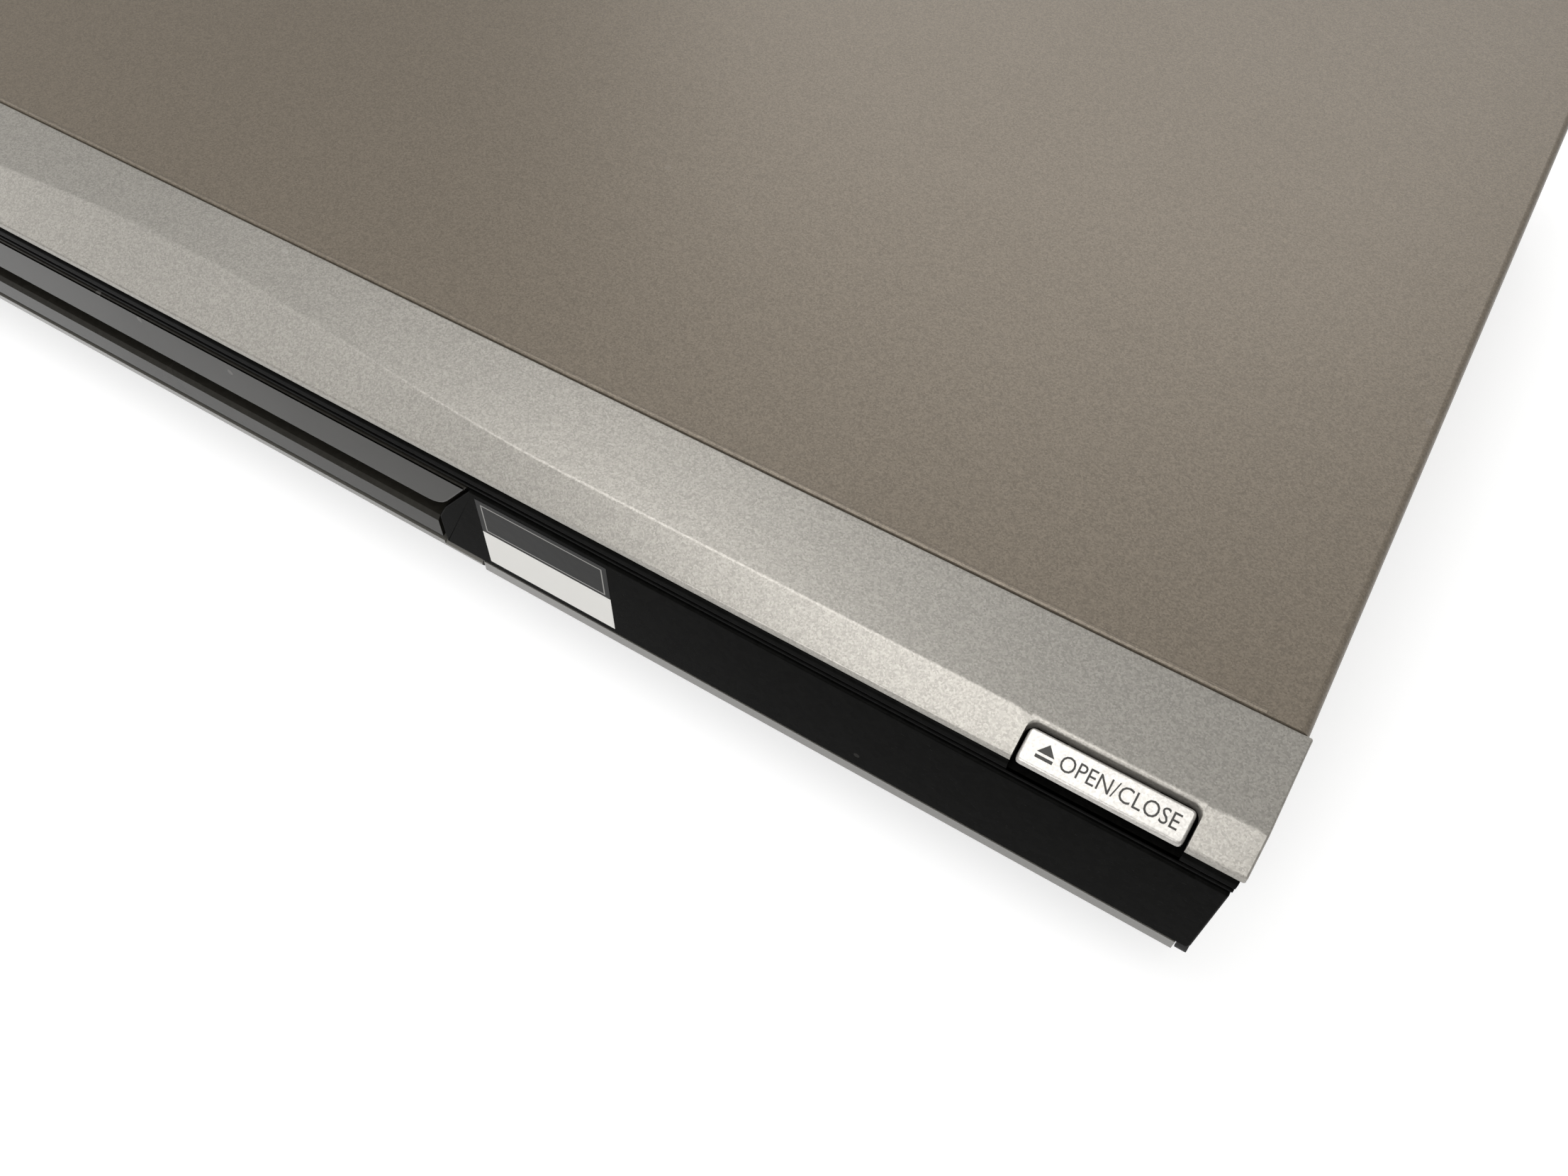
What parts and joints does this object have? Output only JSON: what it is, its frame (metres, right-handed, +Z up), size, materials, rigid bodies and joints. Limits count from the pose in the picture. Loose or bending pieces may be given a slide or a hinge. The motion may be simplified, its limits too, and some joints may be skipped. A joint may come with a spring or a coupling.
{
  "type": "disc player",
  "caption": "Slim wide disc player with a sheet-metal cover, silver top fascia, gloss black front, sliding disc tray, drop-down flap and rear sockets.",
  "frame": {"origin": "middle of the footprint, on the surface that the feet stand on", "axes": "+X to the right as seen from the front, +Y to the back, +Z up; the front with the tray faces -Y"},
  "size_m": [0.43, 0.249, 0.0553],
  "materials": {
    "cover_paint": "fine textured champagne grey paint",
    "zinc_sheet": "galvanised sheet",
    "rubber_feet": "matt",
    "screw_steel": "dark plated",
    "silver_plastic": "fine metallic flake",
    "black_gloss": "high gloss",
    "door_gloss": "high gloss",
    "frame_plastic": "fine texture",
    "clear_strip": "silvered clear plastic",
    "label_vinyl": "printed in two tones",
    "pin_steel": "polished",
    "circuit_green": "solder mask",
    "switch_black": "matt",
    "display_glass": "clear",
    "sensor_plastic": "dark clear",
    "plated_shell": "bright tin plate",
    "tray_plastic": "satin",
    "gear_plastic": "natural acetal",
    "belt_rubber": "matt",
    "motor_can": "plated",
    "loader_plastic": "satin",
    "damper_rubber": "soft",
    "turntable_plastic": "satin",
    "sled_zinc": "die cast",
    "lens_glass": "coated",
    "chip_epoxy": "matt",
    "sink_aluminium": "extruded",
    "transformer_tape": "taped winding",
    "capacitor_sleeve": "sleeved can",
    "ribbon_white": "flat cable",
    "fan_black": "satin",
    "socket_black": "satin",
    "jack_nickel": "nickel plate",
    "silver_button": "fine metallic flake",
    "cover_rear": "textured black paint",
    "flap_gloss": "high gloss, finely scratched",
    "power_board_brown": "paper laminate"
  },
  "bodies": {
    "casing": {"top_cover": "cover_paint", "bottom_chassis": "zinc_sheet", "rear_panel": "cover_rear", "feet": "rubber_feet", "rear_screws": "screw_steel", "fascia": "silver_plastic", "upper_trim": "black_gloss", "front_frame": "frame_plastic", "window_panel": "black_gloss", "lower_strip": "clear_strip", "centre_panel": "black_gloss", "flap_hinge_pins": "pin_steel", "key_switches": "switch_black", "small_boards": "circuit_green", "display_module": "display_glass", "remote_sensor": "sensor_plastic", "usb_port": "plated_shell", "card_slot": "switch_black", "drive_belt": "belt_rubber", "tray_motor": "motor_can", "loader_base": "loader_plastic", "clamper_bridge": "zinc_sheet", "main_board": "circuit_green", "power_board": "power_board_brown", "inner_screws": "screw_steel", "chips": "chip_epoxy", "heat_sink": "sink_aluminium", "transformer": "transformer_tape", "power_capacitors": "capacitor_sleeve", "ribbon_cables": "ribbon_white", "fan_frame": "fan_black", "hdmi_socket": "plated_shell", "lan_socket": "plated_shell", "optical_socket": "socket_black", "ac_inlet": "socket_black", "phono_jacks": "jack_nickel"},
    "tray": {"disc_tray": "tray_plastic", "tray_door": "door_gloss"},
    "drive_gear_body": {"drive_gear": "gear_plastic"},
    "idler_gear_body": {"idler_gear": "gear_plastic"},
    "motor_pulley_body": {"motor_pulley": "gear_plastic"},
    "traverse": {"traverse_frame": "loader_plastic", "traverse_plate": "zinc_sheet", "traverse_dampers": "damper_rubber", "guide_rods": "pin_steel", "spindle_motor": "motor_can", "sled_motor": "motor_can"},
    "spindle": {"turntable": "turntable_plastic"},
    "clamp": {"clamper": "turntable_plastic"},
    "pickup": {"pickup_sled": "sled_zinc", "pickup_lens": "lens_glass"},
    "feed_screw": {"lead_screw": "pin_steel"},
    "flap": {"flap_panel": "flap_gloss", "flap_strip": "clear_strip", "flap_label": "label_vinyl"},
    "open_close_key": {"open_close_button": "silver_button"},
    "power_key": {"power_button": "silver_button"},
    "stop_key": {"stop_button": "silver_button"},
    "play_key": {"play_button": "silver_button"},
    "fan": {"fan_rotor": "fan_black"}
  },
  "joints": [
    {"name": "tray_slide", "type": "slide", "parent": "casing", "child": "tray", "axis": [0, -1, 0], "range_m": [0, 0.136]},
    {"name": "drive_gear_spin", "type": "hinge", "parent": "casing", "child": "drive_gear_body", "pos_m": [-0.04155, -0.088, 0.03], "axis": [0, 0, 1], "range_deg": [-10, 800]},
    {"name": "idler_gear_spin", "type": "hinge", "parent": "casing", "child": "idler_gear_body", "pos_m": [-0.01935, -0.088, 0.03], "axis": [0, 0, 1], "range_deg": [-2100, 30]},
    {"name": "motor_pulley_spin", "type": "hinge", "parent": "casing", "child": "motor_pulley_body", "pos_m": [0.017, -0.088, 0.032], "axis": [0, 0, 1], "range_deg": [-6000, 60]},
    {"name": "traverse_tilt", "type": "hinge", "parent": "casing", "child": "traverse", "pos_m": [0, 0.058, 0.022], "axis": [1, 0, 0], "range_deg": [0, 3.2]},
    {"name": "spindle_spin", "type": "hinge", "parent": "traverse", "child": "spindle", "pos_m": [0, -0.052, 0.036], "axis": [0, 0, 1], "continuous": true},
    {"name": "clamp_spin", "type": "hinge", "parent": "casing", "child": "clamp", "pos_m": [0, -0.052, 0.046], "axis": [0, 0, 1], "continuous": true},
    {"name": "pickup_slide", "type": "slide", "parent": "traverse", "child": "pickup", "axis": [0, 1, 0], "range_m": [0, 0.035]},
    {"name": "feed_screw_spin", "type": "hinge", "parent": "traverse", "child": "feed_screw", "pos_m": [-0.032, 0, 0.022], "axis": [0, 1, 0], "range_deg": [-30, 4230]},
    {"name": "flap_hinge", "type": "hinge", "parent": "casing", "child": "flap", "pos_m": [0.14, -0.1233, 0.0216], "axis": [1, 0, 0], "range_deg": [0, 85]},
    {"name": "open_close_press", "type": "slide", "parent": "casing", "child": "open_close_key", "axis": [0, 0, -1], "range_m": [0, 0.0008], "stiffness_N_per_m": 600, "springref_m": -0.0008},
    {"name": "power_press", "type": "slide", "parent": "casing", "child": "power_key", "axis": [0, 0, -1], "range_m": [0, 0.0008], "stiffness_N_per_m": 600, "springref_m": -0.0008},
    {"name": "stop_press", "type": "slide", "parent": "casing", "child": "stop_key", "axis": [0, 1, 0], "range_m": [0, 0.0008], "stiffness_N_per_m": 600, "springref_m": -0.0008},
    {"name": "play_press", "type": "slide", "parent": "casing", "child": "play_key", "axis": [0, 1, 0], "range_m": [0, 0.0008], "stiffness_N_per_m": 600, "springref_m": -0.0008},
    {"name": "fan_spin", "type": "hinge", "parent": "casing", "child": "fan", "pos_m": [-0.04, 0.1117, 0.027], "axis": [0, 1, 0], "continuous": true}
  ],
  "couplings": [
    {"joint": "drive_gear_spin", "follows": "tray_slide", "rad_per_m": 100},
    {"joint": "idler_gear_spin", "follows": "tray_slide", "rad_per_m": -266.67},
    {"joint": "motor_pulley_spin", "follows": "tray_slide", "rad_per_m": -687.72},
    {"joint": "clamp_spin", "follows": "spindle_spin", "ratio": 1},
    {"joint": "feed_screw_spin", "follows": "pickup_slide", "rad_per_m": 2094.4}
  ]
}
